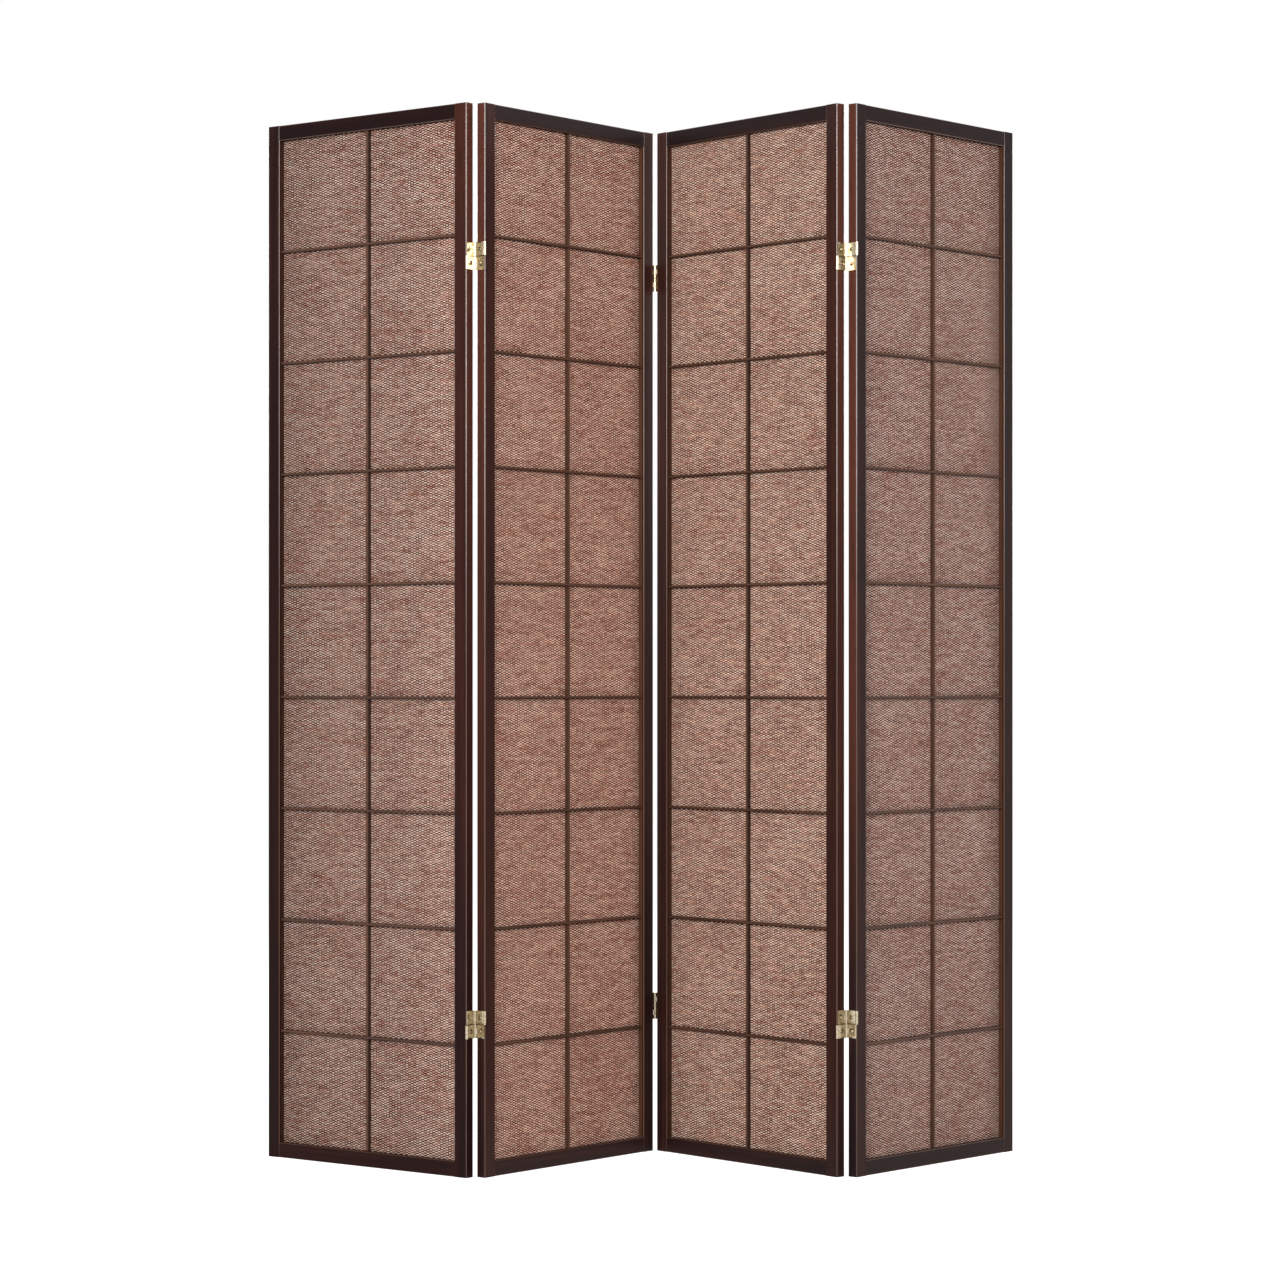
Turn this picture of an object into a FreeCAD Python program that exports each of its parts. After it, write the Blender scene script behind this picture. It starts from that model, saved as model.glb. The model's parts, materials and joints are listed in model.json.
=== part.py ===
import FreeCAD, Part
import Sketcher
import os

# A folding screen of four panels, in millimetres. Each panel is a dark wooden frame with a woven
# sheet in a rebate at its back and a lattice of thin slats before the sheet. Two-way brass hinges
# join the panels. The screen stands zigzag: +Z is up and the front faces -Y.

SIZES = (
    ("panel_height", 1785.0, "height of a panel"),
    ("panel_width", 445.0, "width of a panel"),
    ("frame_depth", 18.0, "thickness of the frame, front to back"),
    ("stile_width", 26.0, "face width of a stile"),
    ("rail_height", 26.0, "face height of a rail"),
    ("arris_radius", 1.8, "rounding of the frame's long edges"),
    ("rebate_width", 8.0, "rebate for the sheet, across the face"),
    ("sheet_setting", 12.0, "front of the sheet behind the frame's front"),
    ("sheet_thickness", 1.0, "thickness of the woven sheet"),
    ("sheet_clearance", 1.0, "room round the sheet in its rebate"),
    ("bead_clearance", 0.15, "room round each retaining bead"),
    ("bead_chamfer", 2.0, "sloped inner edge of a retaining bead"),
    ("row_count", 9, "rows of cells between the rails"),
    ("slat_width", 5.0, "face width of a slat"),
    ("slat_depth", 7.0, "depth of a slat, front to back"),
    ("slat_chamfer", 0.6, "eased front edges of a slat"),
    ("slat_clearance", 0.05, "room on each side of a slat in its notch"),
    ("housing_depth", 5.0, "how far a slat's end goes into the frame"),
    ("dowel_diameter", 6.0, "diameter of a frame dowel"),
    ("dowel_length", 36.0, "length of a frame dowel"),
    ("dowel_spacing", 11.0, "distance between the two dowels of a corner"),
    ("dowel_clearance", 0.1, "glue room round a dowel"),
    ("dowel_setback", 6.5, "dowel centre behind the frame's front"),
    ("hinge_height", 46.0, "height of a hinge"),
    ("hinge_setting", 254.0, "hinge centre from the panel's end"),
    ("plate_thickness", 1.5, "thickness of a leaf or link plate"),
    ("plate_clearance", 0.25, "room between plates of a flat hinge"),
    ("barrel_diameter", 4.8, "outer diameter of a hinge barrel"),
    ("axis_stand_off", 1.8, "pin centre beyond the frame's face"),
    ("pin_diameter", 2.5, "diameter of a hinge pin"),
    ("pin_clearance", 0.05, "running clearance round a pin"),
    ("knuckle_clearance", 0.3, "gap between neighbouring knuckles"),
    ("screw_head", 5.4, "head diameter of a hinge screw"),
    ("screw_shank", 2.8, "shank diameter of a hinge screw"),
    ("screw_length", 14.0, "length of a hinge screw"),
    ("screw_point", 3.0, "length of the screw's point"),
    ("screw_clearance", 0.05, "room round a screw"),
    ("recess_length", 3.0, "length of the cross recess in a screw head"),
    ("recess_width", 0.7, "width of the cross recess"),
    ("recess_depth", 0.6, "depth of the cross recess"),
    ("access_clearance", 0.6, "room round a screw head in a link's hole"),
    ("panel_1_heading", -37.5, "heading of panel 1, degrees from the X axis"),
    ("panel_2_heading", 50.1, "heading of panel 2"),
    ("panel_3_heading", -48.8, "heading of panel 3"),
    ("panel_4_heading", 47.8, "heading of panel 4"),
)

document = FreeCAD.newDocument("folding_screen")
sizes = document.addObject("Spreadsheet::Sheet", "Sizes")
for row, (alias, number, note) in enumerate(SIZES, start=1):
    sizes.set(f"A{row}", note)
    sizes.set(f"B{row}", str(number))
    sizes.setAlias(f"B{row}", alias)
document.recompute()

# Sizes that follow from the driving ones, as expressions on the sheet
SIGHT_WIDTH = "(Sizes.panel_width - 2 * Sizes.stile_width)"
SIGHT_HEIGHT = "(Sizes.panel_height - 2 * Sizes.rail_height)"
ROW_PITCH = f"({SIGHT_HEIGHT} / Sizes.row_count)"
SHEET_FRONT = "Sizes.sheet_setting"
REBATE_DEPTH = "(Sizes.frame_depth - Sizes.sheet_setting)"
SLAT_FRONT = "(Sizes.sheet_setting - Sizes.slat_depth)"
SLAT_EDGE = f"({SLAT_FRONT} + Sizes.slat_chamfer)"
LAP_DEPTH = "(Sizes.slat_depth / 2)"
NOTCH_WIDTH = "(Sizes.slat_width + 2 * Sizes.slat_clearance)"
REBATE_SIDE = "(Sizes.stile_width - Sizes.rebate_width)"
REBATE_END = "(Sizes.rail_height - Sizes.rebate_width)"
DOWEL_HOLE = "(Sizes.dowel_diameter / 2 + Sizes.dowel_clearance)"
DOWEL_HOLE_DEPTH = "(Sizes.dowel_length / 2 + Sizes.dowel_clearance)"
HINGE_GAP = "(3 * Sizes.plate_thickness + 2 * Sizes.plate_clearance)"
REAR_AXIS = "(Sizes.frame_depth + Sizes.axis_stand_off)"
PLATE_SETBACK = "(Sizes.barrel_diameter / 2 - Sizes.axis_stand_off + Sizes.knuckle_clearance)"
PLATE_WIDTH = f"(Sizes.frame_depth - 2 * {PLATE_SETBACK})"
TONGUE = f"(Sizes.axis_stand_off + {PLATE_SETBACK})"
HALF_HINGE = "(Sizes.hinge_height / 2)"
SCREW_STEP = "(Sizes.hinge_height / 4)"
KNUCKLE = f"(({HALF_HINGE} - 2.5 * Sizes.knuckle_clearance) / 3)"
BORE = "(Sizes.pin_diameter / 2 + Sizes.pin_clearance)"
FRONT_AXIS = "(-Sizes.axis_stand_off)"
INNER_KNUCKLE = "Sizes.knuckle_clearance / 2"
MIDDLE_KNUCKLE = f"1.5 * Sizes.knuckle_clearance + {KNUCKLE}"
OUTER_KNUCKLE = f"{HALF_HINGE} - {KNUCKLE}"
HEAD_DEPTH = "((Sizes.screw_head - Sizes.screw_shank) / 2)"
PILOT = "(Sizes.screw_shank / 2 + Sizes.screw_clearance)"

PANELS = ("panel_1", "panel_2", "panel_3", "panel_4")
# Fold lines, each with the panels that it joins and the axis that it turns about:
# the ridges towards the front turn about their rear pins, the valley about its front pins
FOLDS = (
    ("hinge_12", "panel_1", "panel_2", "rear"),
    ("hinge_23", "panel_2", "panel_3", "front"),
    ("hinge_34", "panel_3", "panel_4", "rear"),
)

ALONG_X = FreeCAD.Vector(1, 0, 0)
ALONG_Z = FreeCAD.Vector(0, 0, 1)
UPRIGHT = FreeCAD.Rotation()
END_FOR_END = FreeCAD.Rotation(FreeCAD.Vector(0, 1, 0), 180)
LEVEL = FreeCAD.Rotation(FreeCAD.Vector(0, 1, 0), 90)
SAME_PLACE = 1e-4
PARALLEL = 1 - 1e-6


def number(expression):
    """The present value of an expression on the sheet."""
    return float(sizes.evalExpression(expression))


def place(x, y, z, rotation=UPRIGHT):
    """A placement whose position is given by three expressions."""
    return FreeCAD.Placement(FreeCAD.Vector(number(x), number(y), number(z)), rotation)


# Sketches and features of a body

def origin_feature(body, role):
    """An origin plane or axis of a body."""
    return next(feature for feature in body.Origin.OriginFeatures if feature.Role == role)


def new_sketch(body, name, role, offset="0"):
    """A sketch on an origin plane of the body, moved along the plane's normal."""
    sketch = body.newObject("Sketcher::SketchObject", name)
    sketch.AttachmentSupport = [(origin_feature(body, role), "")]
    sketch.MapMode = "FlatFace"
    sketch.setExpression("AttachmentOffset.Base.z", offset)
    return sketch


def pin_point(sketch, curve, vertex, x, y):
    """Tie a vertex of a sketch to a pair of coordinates, each zero or an expression."""
    for kind, axis, expression in (("DistanceX", -2, x), ("DistanceY", -1, y)):
        if expression == "0":
            sketch.addConstraint(Sketcher.Constraint("PointOnObject", curve, vertex, axis))
        else:
            rule = Sketcher.Constraint(kind, -1, 1, curve, vertex, number(expression))
            sketch.setExpression(f"Constraints[{sketch.addConstraint(rule)}]", expression)


def outline(sketch, corners):
    """A closed outline of straight sides through corners given by expressions."""
    points = [FreeCAD.Vector(number(x), number(y), 0) for x, y in corners]
    first = sketch.GeometryCount
    for start, end in zip(points, points[1:] + points[:1]):
        sketch.addGeometry(Part.LineSegment(start, end))
    for index, (x, y) in enumerate(corners):
        following = first + (index + 1) % len(corners)
        sketch.addConstraint(Sketcher.Constraint("Coincident", first + index, 2, following, 1))
        pin_point(sketch, first + index, 1, x, y)


def rectangle(sketch, left, low, width, height):
    """A rectangle from its lower left corner and its sides."""
    right = f"{left} + {width}"
    top = f"{low} + {height}"
    outline(sketch, ((left, low), (right, low), (right, top), (left, top)))


def circle(sketch, x, y, radius):
    """A circle from its centre and radius."""
    centre = FreeCAD.Vector(number(x), number(y), 0)
    curve = sketch.addGeometry(Part.Circle(centre, ALONG_Z, number(radius)))
    rule = sketch.addConstraint(Sketcher.Constraint("Radius", curve, number(radius)))
    sketch.setExpression(f"Constraints[{rule}]", radius)
    pin_point(sketch, curve, 3, x, y)


def feature(body, kind, name, sketch, length, reverse=False):
    """A pad or pocket of a sketch."""
    made = body.newObject(f"PartDesign::{kind}", name)
    made.Profile = sketch
    made.setExpression("Length", length)
    made.Reversed = reverse
    sketch.Visibility = False
    document.recompute()
    return made


def repeat(body, name, originals, axis, length, count):
    """A row of copies of features along an axis of the body."""
    pattern = body.newObject("PartDesign::LinearPattern", name)
    pattern.Originals = originals
    pattern.Direction = (origin_feature(body, axis), [""])
    pattern.setExpression("Length", length)
    pattern.setExpression("Occurrences", count)
    body.Tip = pattern
    document.recompute()
    return pattern


def edge_names(solid, direction, lines):
    """Names of the straight edges that run along a direction through points of given lines."""
    names = []
    for index, edge in enumerate(solid.Shape.Edges, start=1):
        if abs(edge.tangentAt(edge.FirstParameter).dot(direction)) < PARALLEL:
            continue
        for line in lines:
            offset = edge.CenterOfMass - FreeCAD.Vector(*line)
            if (offset - direction * offset.dot(direction)).Length < SAME_PLACE:
                names.append(f"Edge{index}")
    return names


def round_edges(body, solid, direction, lines):
    """Round the long edges of a frame piece."""
    fillet = body.newObject("PartDesign::Fillet", "rounded_edges")
    fillet.Base = (solid, edge_names(solid, direction, lines))
    fillet.setExpression("Radius", "Sizes.arris_radius")
    document.recompute()


# Wooden pieces of a panel, modelled in the panel's own frame:
# X from its left edge, Y from its front face back, Z from the floor

def make_stile(label, hinged):
    """A left stile. The right one is the same piece turned end for end."""
    body = document.addObject("PartDesign::Body", label)
    section = new_sketch(body, "section", "XY_Plane")
    rectangle(section, "0", "0", "Sizes.stile_width", "Sizes.frame_depth")
    bar = feature(body, "Pad", "bar", section, "Sizes.panel_height")
    width = number("Sizes.stile_width")
    depth = number("Sizes.frame_depth")
    round_edges(body, bar, ALONG_Z, ((0, 0, 0), (width, 0, 0), (0, depth, 0)))

    section = new_sketch(body, "rebate_section", "XY_Plane", REBATE_END)
    rectangle(section, REBATE_SIDE, SHEET_FRONT, "Sizes.rebate_width", REBATE_DEPTH)
    feature(body, "Pocket", "rebate", section, f"Sizes.panel_height - 2 * {REBATE_END}", True)

    first_slat = f"Sizes.rail_height + {ROW_PITCH} - {NOTCH_WIDTH} / 2"
    section = new_sketch(body, "housing_section", "XY_Plane", first_slat)
    front = f"{SLAT_FRONT} - Sizes.slat_clearance"
    rectangle(section, "Sizes.stile_width - Sizes.housing_depth", front,
              "Sizes.housing_depth", "Sizes.slat_depth + Sizes.slat_clearance")
    housing = feature(body, "Pocket", "housing", section, NOTCH_WIDTH, True)
    rows = "Sizes.row_count - 1"
    repeat(body, "housings", [housing], "Z_Axis", f"{ROW_PITCH} * (Sizes.row_count - 2)", rows)

    holes = new_sketch(body, "dowel_holes", "YZ_Plane", "Sizes.stile_width")
    for sign in ("-", "+"):
        height = f"Sizes.rail_height / 2 {sign} Sizes.dowel_spacing / 2"
        circle(holes, "Sizes.dowel_setback", height, DOWEL_HOLE)
        circle(holes, "Sizes.dowel_setback", f"Sizes.panel_height - ({height})", DOWEL_HOLE)
    feature(body, "Pocket", "dowel_bores", holes, DOWEL_HOLE_DEPTH)

    if hinged:
        pilots = new_sketch(body, "pilot_holes", "YZ_Plane")
        for sign in ("-", "+"):
            height = f"Sizes.hinge_setting {sign} {SCREW_STEP}"
            circle(pilots, "Sizes.frame_depth / 2", height, PILOT)
            circle(pilots, "Sizes.frame_depth / 2", f"Sizes.panel_height - ({height})", PILOT)
        feature(body, "Pocket", "pilot_bores", pilots, "Sizes.screw_length", True)
    return body


def make_rail():
    """A bottom rail, from its left end. The top one is the same piece turned end for end."""
    body = document.addObject("PartDesign::Body", "rail")
    section = new_sketch(body, "section", "YZ_Plane")
    back = "Sizes.frame_depth"
    top = "Sizes.rail_height"
    outline(section, (("0", "0"), (back, "0"), (back, REBATE_END), (SHEET_FRONT, REBATE_END),
                      (SHEET_FRONT, top), ("0", top)))
    bar = feature(body, "Pad", "bar", section, SIGHT_WIDTH)
    depth = number(back)
    height = number(top)
    round_edges(body, bar, ALONG_X, ((0, 0, 0), (0, 0, height), (0, depth, 0)))

    section = new_sketch(body, "housing_section", "XY_Plane", top)
    rectangle(section, f"{SIGHT_WIDTH} / 2 - {NOTCH_WIDTH} / 2",
              f"{SLAT_FRONT} - Sizes.slat_clearance",
              NOTCH_WIDTH, "Sizes.slat_depth + Sizes.slat_clearance")
    feature(body, "Pocket", "housing", section, "Sizes.housing_depth")

    for name, end, reverse in (("left", "0", True), ("right", SIGHT_WIDTH, False)):
        holes = new_sketch(body, f"{name}_dowel_holes", "YZ_Plane", end)
        for sign in ("-", "+"):
            height = f"Sizes.rail_height / 2 {sign} Sizes.dowel_spacing / 2"
            circle(holes, "Sizes.dowel_setback", height, DOWEL_HOLE)
        feature(body, "Pocket", f"{name}_dowel_bores", holes, DOWEL_HOLE_DEPTH, reverse)
    return body


def make_frame_dowels():
    """The eight dowels of a panel, two in each corner."""
    body = document.addObject("PartDesign::Body", "frame_dowels")
    section = new_sketch(body, "section", "YZ_Plane", "Sizes.stile_width - Sizes.dowel_length / 2")
    for sign in ("-", "+"):
        height = f"Sizes.rail_height / 2 {sign} Sizes.dowel_spacing / 2"
        circle(section, "Sizes.dowel_setback", height, "Sizes.dowel_diameter / 2")
        circle(section, "Sizes.dowel_setback", f"Sizes.panel_height - ({height})",
               "Sizes.dowel_diameter / 2")
    left = feature(body, "Pad", "left_dowels", section, "Sizes.dowel_length")
    repeat(body, "both_sides", [left], "X_Axis", SIGHT_WIDTH, "2")
    return body


def make_centre_slat():
    """The upright slat, notched in front where the cross slats lap over it."""
    body = document.addObject("PartDesign::Body", "centre_slat")
    foot = "Sizes.rail_height - Sizes.housing_depth + Sizes.slat_clearance"
    left = "Sizes.panel_width / 2 - Sizes.slat_width / 2"
    right = "Sizes.panel_width / 2 + Sizes.slat_width / 2"
    section = new_sketch(body, "section", "XY_Plane", foot)
    outline(section, ((f"{left} + Sizes.slat_chamfer", SLAT_FRONT),
                      (f"{right} - Sizes.slat_chamfer", SLAT_FRONT), (right, SLAT_EDGE),
                      (right, SHEET_FRONT), (left, SHEET_FRONT), (left, SLAT_EDGE)))
    feature(body, "Pad", "bar", section, f"Sizes.panel_height - 2 * ({foot})")

    first_slat = f"Sizes.rail_height + {ROW_PITCH} - {NOTCH_WIDTH} / 2"
    section = new_sketch(body, "notch_section", "XY_Plane", first_slat)
    rectangle(section, left, SLAT_FRONT, "Sizes.slat_width", LAP_DEPTH)
    notch = feature(body, "Pocket", "notch", section, NOTCH_WIDTH, True)
    rows = "Sizes.row_count - 1"
    repeat(body, "notches", [notch], "Z_Axis", f"{ROW_PITCH} * (Sizes.row_count - 2)", rows)
    return body


def make_cross_slats():
    """The row of level slats, each notched behind where it laps over the centre slat."""
    body = document.addObject("PartDesign::Body", "cross_slats")
    left = "Sizes.stile_width - Sizes.housing_depth + Sizes.slat_clearance"
    low = f"Sizes.rail_height + {ROW_PITCH} - Sizes.slat_width / 2"
    top = f"Sizes.rail_height + {ROW_PITCH} + Sizes.slat_width / 2"
    section = new_sketch(body, "section", "YZ_Plane", left)
    outline(section, ((SLAT_EDGE, low), (SHEET_FRONT, low), (SHEET_FRONT, top), (SLAT_EDGE, top),
                      (SLAT_FRONT, f"{top} - Sizes.slat_chamfer"),
                      (SLAT_FRONT, f"{low} + Sizes.slat_chamfer")))
    slat = feature(body, "Pad", "slat", section, f"Sizes.panel_width - 2 * ({left})")

    section = new_sketch(body, "notch_section", "XY_Plane", low)
    rectangle(section, f"Sizes.panel_width / 2 - {NOTCH_WIDTH} / 2", f"{SLAT_FRONT} + {LAP_DEPTH}",
              NOTCH_WIDTH, LAP_DEPTH)
    notch = feature(body, "Pocket", "notch", section, "Sizes.slat_width", True)
    rows = "Sizes.row_count - 1"
    repeat(body, "slats", [slat, notch], "Z_Axis", f"{ROW_PITCH} * (Sizes.row_count - 2)", rows)
    return body


def make_woven_sheet():
    """The stretched sheet, in the rebate behind the slats."""
    sheet = document.addObject("Part::Box", "woven_sheet")
    spare = "2 * (Sizes.rebate_width - Sizes.sheet_clearance)"
    sheet.setExpression("Length", f"{SIGHT_WIDTH} + {spare}")
    sheet.setExpression("Width", "Sizes.sheet_thickness")
    sheet.setExpression("Height", f"{SIGHT_HEIGHT} + {spare}")
    sheet.setExpression("Placement.Base.x", f"{REBATE_SIDE} + Sizes.sheet_clearance")
    sheet.setExpression("Placement.Base.y", SHEET_FRONT)
    sheet.setExpression("Placement.Base.z", f"{REBATE_END} + Sizes.sheet_clearance")
    return sheet


def make_retaining_beads():
    """Four strips that press the sheet into its rebate: long ones at the sides, short ones between."""
    body = document.addObject("PartDesign::Body", "retaining_beads")
    seat = f"{SHEET_FRONT} + Sizes.sheet_thickness"
    section = new_sketch(body, "section", "XZ_Plane", f"-({seat})")
    across = "Sizes.rebate_width - Sizes.bead_clearance"
    side = f"{REBATE_SIDE} + Sizes.bead_clearance"
    end = f"{REBATE_END} + Sizes.bead_clearance"
    between = "Sizes.stile_width + Sizes.bead_clearance"
    for left in (side, "Sizes.panel_width - Sizes.stile_width"):
        rectangle(section, left, end, across, f"Sizes.panel_height - 2 * ({end})")
    for low in (end, "Sizes.panel_height - Sizes.rail_height"):
        rectangle(section, between, low, f"Sizes.panel_width - 2 * ({between})", across)
    strips = feature(body, "Pad", "strips", section, f"{REBATE_DEPTH} - Sizes.sheet_thickness", True)

    depth = number("Sizes.frame_depth")
    left_edge = number("Sizes.stile_width")
    right_edge = number("Sizes.panel_width - Sizes.stile_width")
    low_edge = number("Sizes.rail_height")
    top_edge = number("Sizes.panel_height - Sizes.rail_height")
    inner = edge_names(strips, ALONG_Z, ((left_edge, depth, 0), (right_edge, depth, 0)))
    inner += edge_names(strips, ALONG_X, ((0, depth, low_edge), (0, depth, top_edge)))
    slope = body.newObject("PartDesign::Chamfer", "sloped_edges")
    slope.Base = (strips, inner)
    slope.setExpression("Size", "Sizes.bead_chamfer")
    document.recompute()
    return body


# Hinge pieces, modelled in the frame of a hinge that lies flat: X across the gap from its middle,
# Y from the frame's front face back, Z from the hinge's middle

def block(name, corner, sides):
    """A box from its lowest corner and its sides."""
    solid = document.addObject("Part::Box", name)
    for prop, expression in zip(("Length", "Width", "Height"), sides):
        solid.setExpression(prop, expression)
    for axis, expression in zip("xyz", corner):
        solid.setExpression(f"Placement.Base.{axis}", expression)
    return solid


def rod(name, base, radius, height, rotation=UPRIGHT):
    """A cylinder from the middle of its base."""
    solid = document.addObject("Part::Cylinder", name)
    solid.Placement = FreeCAD.Placement(FreeCAD.Vector(), rotation)
    solid.setExpression("Radius", radius)
    solid.setExpression("Height", height)
    for axis, expression in zip("xyz", base):
        solid.setExpression(f"Placement.Base.{axis}", expression)
    return solid


def cone(name, base, low_radius, high_radius, height, rotation=UPRIGHT):
    """A cone from the middle of its base."""
    solid = document.addObject("Part::Cone", name)
    solid.Placement = FreeCAD.Placement(FreeCAD.Vector(), rotation)
    solid.setExpression("Radius1", low_radius)
    solid.setExpression("Radius2", high_radius)
    solid.setExpression("Height", height)
    for axis, expression in zip("xyz", base):
        solid.setExpression(f"Placement.Base.{axis}", expression)
    return solid


def joined(name, solids):
    """Solids fused into one."""
    fuse = document.addObject("Part::MultiFuse", name)
    fuse.Shapes = solids
    fuse.Refine = True
    return fuse


def carved(name, base, tools):
    """A solid with other solids cut out of it."""
    cut = document.addObject("Part::Cut", name)
    cut.Base = base
    cut.Tool = joined(f"{name}_cutters", tools)
    cut.Refine = True
    return cut


def knuckle(name, plate_side, axis_y, low):
    """A knuckle: its barrel round the pin and the tongue that joins it to a plate."""
    barrel = rod(f"{name}_barrel", ("0", axis_y, low), "Sizes.barrel_diameter / 2", KNUCKLE)
    start = f"{axis_y} - {TONGUE}" if axis_y == REAR_AXIS else axis_y
    tongue = block(f"{name}_tongue", (plate_side, start, low),
                   ("Sizes.plate_thickness", TONGUE, KNUCKLE))
    return [barrel, tongue]


def make_hinge_leaf():
    """A left leaf: rear knuckles above, front knuckles below. The right one is turned end for end."""
    side = f"-{HINGE_GAP} / 2"
    pieces = [block("leaf_plate", (side, PLATE_SETBACK, f"-{HALF_HINGE}"),
                    ("Sizes.plate_thickness", PLATE_WIDTH, "Sizes.hinge_height"))]
    for position, low in (("inner", INNER_KNUCKLE), ("outer", OUTER_KNUCKLE)):
        pieces += knuckle(f"leaf_rear_{position}", side, REAR_AXIS, low)
        pieces += knuckle(f"leaf_front_{position}", side, FRONT_AXIS, f"-({low}) - {KNUCKLE}")
    cutters = [rod("leaf_rear_bore", ("0", REAR_AXIS, "0"), BORE, HALF_HINGE),
               rod("leaf_front_bore", ("0", FRONT_AXIS, f"-{HALF_HINGE}"), BORE, HALF_HINGE)]
    for sign in ("-", ""):
        name = "upper" if sign == "" else "lower"
        middle = ("Sizes.frame_depth / 2", f"{sign}{SCREW_STEP}")
        cutters.append(rod(f"leaf_{name}_hole", (side, *middle), PILOT, "Sizes.plate_thickness", LEVEL))
        sink = f"{side} + Sizes.plate_thickness - {HEAD_DEPTH}"
        cutters.append(cone(f"leaf_{name}_sink", (sink, *middle), PILOT,
                            "Sizes.screw_head / 2 + Sizes.screw_clearance", HEAD_DEPTH, LEVEL))
    return carved("hinge_leaf", joined("leaf_blank", pieces), cutters)


def make_hinge_link():
    """An upper link, pinned at both sides. The lower one is turned end for end."""
    side = "-Sizes.plate_thickness / 2"
    pieces = [block("link_plate", (side, PLATE_SETBACK, "Sizes.knuckle_clearance / 2"),
                    ("Sizes.plate_thickness", PLATE_WIDTH,
                     f"{HALF_HINGE} - Sizes.knuckle_clearance / 2"))]
    pieces += knuckle("link_rear", side, REAR_AXIS, MIDDLE_KNUCKLE)
    pieces += knuckle("link_front", side, FRONT_AXIS, MIDDLE_KNUCKLE)
    cutters = [rod("link_rear_bore", ("0", REAR_AXIS, "0"), BORE, HALF_HINGE),
               rod("link_front_bore", ("0", FRONT_AXIS, "0"), BORE, HALF_HINGE),
               rod("link_access_hole", (side, "Sizes.frame_depth / 2", SCREW_STEP),
                   "Sizes.screw_head / 2 + Sizes.access_clearance", "Sizes.plate_thickness", LEVEL)]
    return carved("hinge_link", joined("link_blank", pieces), cutters)


def make_hinge_pin():
    """A pin as long as half a hinge."""
    length = f"{HALF_HINGE} - Sizes.knuckle_clearance / 2"
    return rod("hinge_pin", ("0", "0", "0"), "Sizes.pin_diameter / 2", length)


def make_hinge_screw():
    """A countersunk screw with a cross recess, its head's face at the origin and its point below."""
    shank = "Sizes.screw_shank / 2"
    pieces = [cone("screw_cap", ("0", "0", f"-{HEAD_DEPTH}"), shank, "Sizes.screw_head / 2", HEAD_DEPTH),
              rod("screw_body", ("0", "0", "Sizes.screw_point - Sizes.screw_length"), shank,
                  f"Sizes.screw_length - Sizes.screw_point - {HEAD_DEPTH}"),
              cone("screw_tip", ("0", "0", "-Sizes.screw_length"), "0", shank, "Sizes.screw_point")]
    long = "Sizes.recess_length"
    wide = "Sizes.recess_width"
    deep = "Sizes.recess_depth"
    cutters = [block("recess_across", (f"-{long} / 2", f"-{wide} / 2", f"-{deep}"), (long, wide, deep)),
               block("recess_along", (f"-{wide} / 2", f"-{long} / 2", f"-{deep}"), (wide, long, deep))]
    return carved("hinge_screw", joined("screw_blank", pieces), cutters)


# The screen: every node is a placed copy, or a group of placed copies, of these pieces

nodes = []


def add_node(label, piece, panel, local=FreeCAD.Placement()):
    """One piece as a node of a panel, placed in the panel's frame."""
    node = document.addObject("App::Link", label)
    node.LinkedObject = piece
    nodes.append((node, panel, local))


def add_group(label, copies, panel):
    """Several pieces as one node of a panel, each placed in the panel's frame."""
    links = []
    for index, (piece, local) in enumerate(copies, start=1):
        link = document.addObject("App::Link", f"{label}_{index}")
        link.LinkedObject = piece
        link.Placement = local
        links.append(link)
    group = document.addObject("Part::Compound", label)
    group.Links = links
    nodes.append((group, panel, FreeCAD.Placement()))


def add_panel(panel, pieces):
    """The wooden pieces and the sheet of one panel."""
    left = pieces["stile"] if panel == PANELS[0] else pieces["hinged_stile"]
    right = pieces["stile"] if panel == PANELS[-1] else pieces["hinged_stile"]
    turned_stile = place("Sizes.panel_width", "0", "Sizes.panel_height", END_FOR_END)
    turned_rail = place("Sizes.panel_width - Sizes.stile_width", "0", "Sizes.panel_height", END_FOR_END)
    add_node(f"{panel}_left_stile", left, panel)
    add_node(f"{panel}_right_stile", right, panel, turned_stile)
    add_node(f"{panel}_bottom_rail", pieces["rail"], panel, place("Sizes.stile_width", "0", "0"))
    add_node(f"{panel}_top_rail", pieces["rail"], panel, turned_rail)
    sheet = pieces["woven_sheet"]
    add_node(f"{panel}_woven_sheet", sheet, panel, sheet.Placement)
    for name in ("frame_dowels", "centre_slat", "cross_slats", "retaining_beads"):
        add_node(f"{panel}_{name}", pieces[name], panel)


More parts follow.
